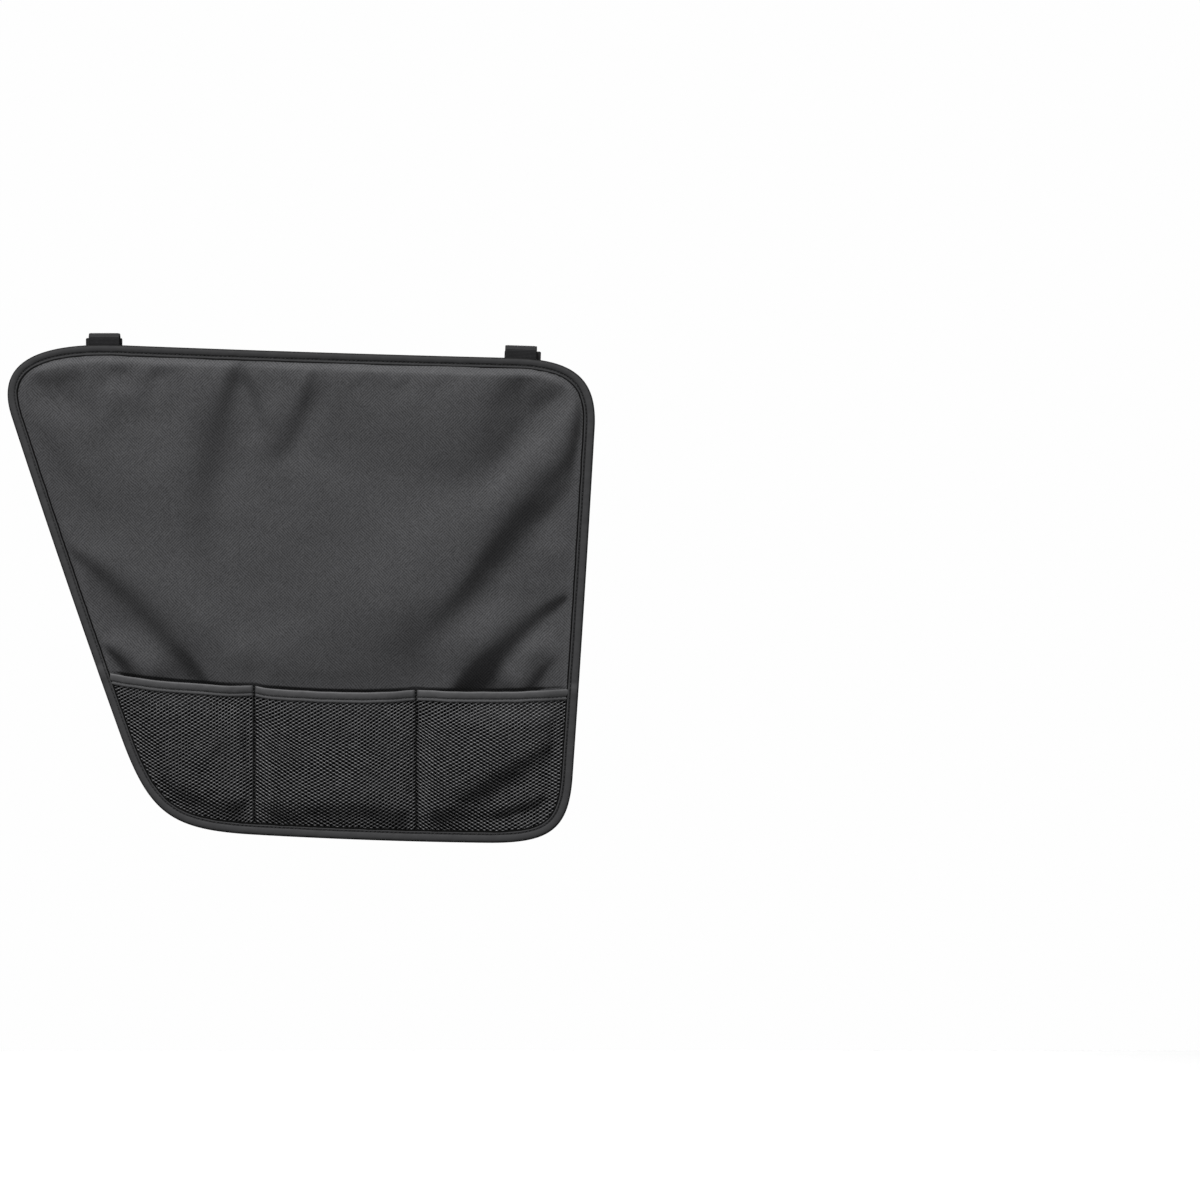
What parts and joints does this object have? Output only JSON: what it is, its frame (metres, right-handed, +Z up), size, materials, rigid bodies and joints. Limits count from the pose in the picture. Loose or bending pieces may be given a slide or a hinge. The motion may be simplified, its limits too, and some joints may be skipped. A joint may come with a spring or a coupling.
{
  "type": "car door protector",
  "caption": "Edge-bound cloth cover that hangs inside a car door by webbing tabs with window-gap insert plates, with open mesh pockets across its foot.",
  "frame": {"origin": "midway between the undersides of the straps' folds, on the line by which the protector hangs, in the middle of the gap that takes the window ledge", "axes": "+X to the right seen from the front, +Y from the front to the back, towards the door, +Z up"},
  "size_m": [0.6352, 0.0299, 0.5507],
  "materials": {
    "panel_cloth": "dark grey coated polyester oxford cloth with a fine diagonal weave, soft folds",
    "pocket_mesh": "dark grey open warp-knit mesh with hexagonal holes",
    "edge_tape": "charcoal woven binding tape, folded over the edge and stitched",
    "pocket_tape": "lighter grey woven binding tape, folded over the mesh and stitched",
    "webbing": "black ribbed polypropylene webbing",
    "plate_plastic": "black satin moulded plastic",
    "thread": "dark grey polyester sewing thread"
  },
  "bodies": {
    "root": {"main_panel": "panel_cloth", "mesh_pocket": "pocket_mesh", "edge_binding": "edge_tape", "pocket_binding": "pocket_tape", "left_divider_seam": "thread", "right_divider_seam": "thread", "left_tab_strap": "webbing", "right_tab_strap": "webbing", "left_insert_plate": "plate_plastic", "right_insert_plate": "plate_plastic"}
  },
  "joints": []
}
